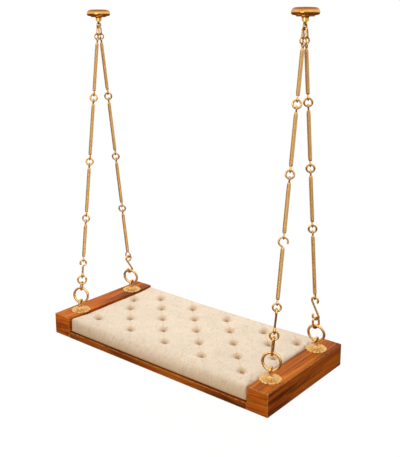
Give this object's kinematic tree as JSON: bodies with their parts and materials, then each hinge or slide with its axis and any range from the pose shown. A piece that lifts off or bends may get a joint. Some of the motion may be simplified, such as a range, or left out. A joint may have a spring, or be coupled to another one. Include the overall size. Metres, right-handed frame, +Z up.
{
  "type": "hanging swing bed",
  "caption": "Hanging swing bed: a timber frame with a tufted cushion, hung from ceiling eyes by strands of forged brass rods, rings, links and hooks.",
  "frame": {"origin": "on the ceiling, midway between the two ceiling studs", "axes": "+X along the bed to the viewer's right, +Y from the front of the bed to its back, +Z up into the ceiling"},
  "size_m": [1.8, 0.83, 2.28],
  "materials": {
    "brass": "forged and polished",
    "timber": "oiled, glossy",
    "fabric": "slubby weave",
    "steel": "zinc plated"
  },
  "bodies": {
    "ceiling": {"canopy_left": "brass", "canopy_right": "brass", "ceiling_eye_left": "brass", "ceiling_eye_right": "brass"},
    "ring_left": {"top_ring_left": "brass"},
    "chains_left": {"upper_oval_link_front_left": "brass", "upper_round_link_front_left": "brass", "rod_1_front_left": "brass", "rod_2_front_left": "brass", "rod_3_front_left": "brass", "rod_4_front_left": "brass", "connecting_rings_front_left": "brass", "s_hook_front_left": "brass", "big_ring_front_left": "brass", "split_ring_front_left": "brass", "short_link_front_left": "brass", "upper_oval_link_back_left": "brass", "upper_round_link_back_left": "brass", "rod_1_back_left": "brass", "rod_2_back_left": "brass", "rod_3_back_left": "brass", "rod_4_back_left": "brass", "connecting_rings_back_left": "brass", "s_hook_back_left": "brass", "big_ring_back_left": "brass"},
    "seat": {"end_rail_left": "timber", "end_rail_right": "timber", "front_rail": "timber", "back_rail": "timber", "base_panel": "timber", "battens": "timber", "rail_pegs": "timber", "cushion": "fabric", "rosettes": "brass", "eye_bolts": "brass", "washers": "steel", "nuts": "steel"},
    "ring_right": {"top_ring_right": "brass"},
    "chains_right": {"upper_oval_link_front_right": "brass", "upper_round_link_front_right": "brass", "rod_1_front_right": "brass", "rod_2_front_right": "brass", "rod_3_front_right": "brass", "rod_4_front_right": "brass", "connecting_rings_front_right": "brass", "s_hook_front_right": "brass", "big_ring_front_right": "brass", "round_link_front_right": "brass", "long_link_front_right": "brass", "upper_oval_link_back_right": "brass", "upper_round_link_back_right": "brass", "rod_1_back_right": "brass", "rod_2_back_right": "brass", "rod_3_back_right": "brass", "rod_4_back_right": "brass", "connecting_rings_back_right": "brass", "s_hook_back_right": "brass", "big_ring_back_right": "brass", "open_link_back_right": "brass"}
  },
  "joints": [
    {"name": "swing", "type": "hinge", "parent": "ceiling", "child": "ring_left", "pos_m": [-0.808, 0, -0.1031], "axis": [1, 0, 0], "range_deg": [-20, 20]},
    {"name": "sway", "type": "hinge", "parent": "ring_left", "child": "chains_left", "pos_m": [-0.808, 0, -0.1191], "axis": [0, 1, 0], "range_deg": [-10, 10]},
    {"name": "seat_level", "type": "hinge", "parent": "chains_left", "child": "seat", "pos_m": [-0.808, 0, -1.96845], "axis": [0, 1, 0], "range_deg": [-10, 10]},
    {"name": "swing_right", "type": "hinge", "parent": "ceiling", "child": "ring_right", "pos_m": [0.808, 0, -0.1031], "axis": [1, 0, 0], "range_deg": [-20, 20]},
    {"name": "sway_right", "type": "hinge", "parent": "ring_right", "child": "chains_right", "pos_m": [0.808, 0, -0.1191], "axis": [0, 1, 0], "range_deg": [-10, 10]}
  ],
  "couplings": [
    {"joint": "swing_right", "follows": "swing", "ratio": 1},
    {"joint": "sway_right", "follows": "sway", "ratio": 1},
    {"joint": "seat_level", "follows": "sway", "ratio": -1}
  ]
}
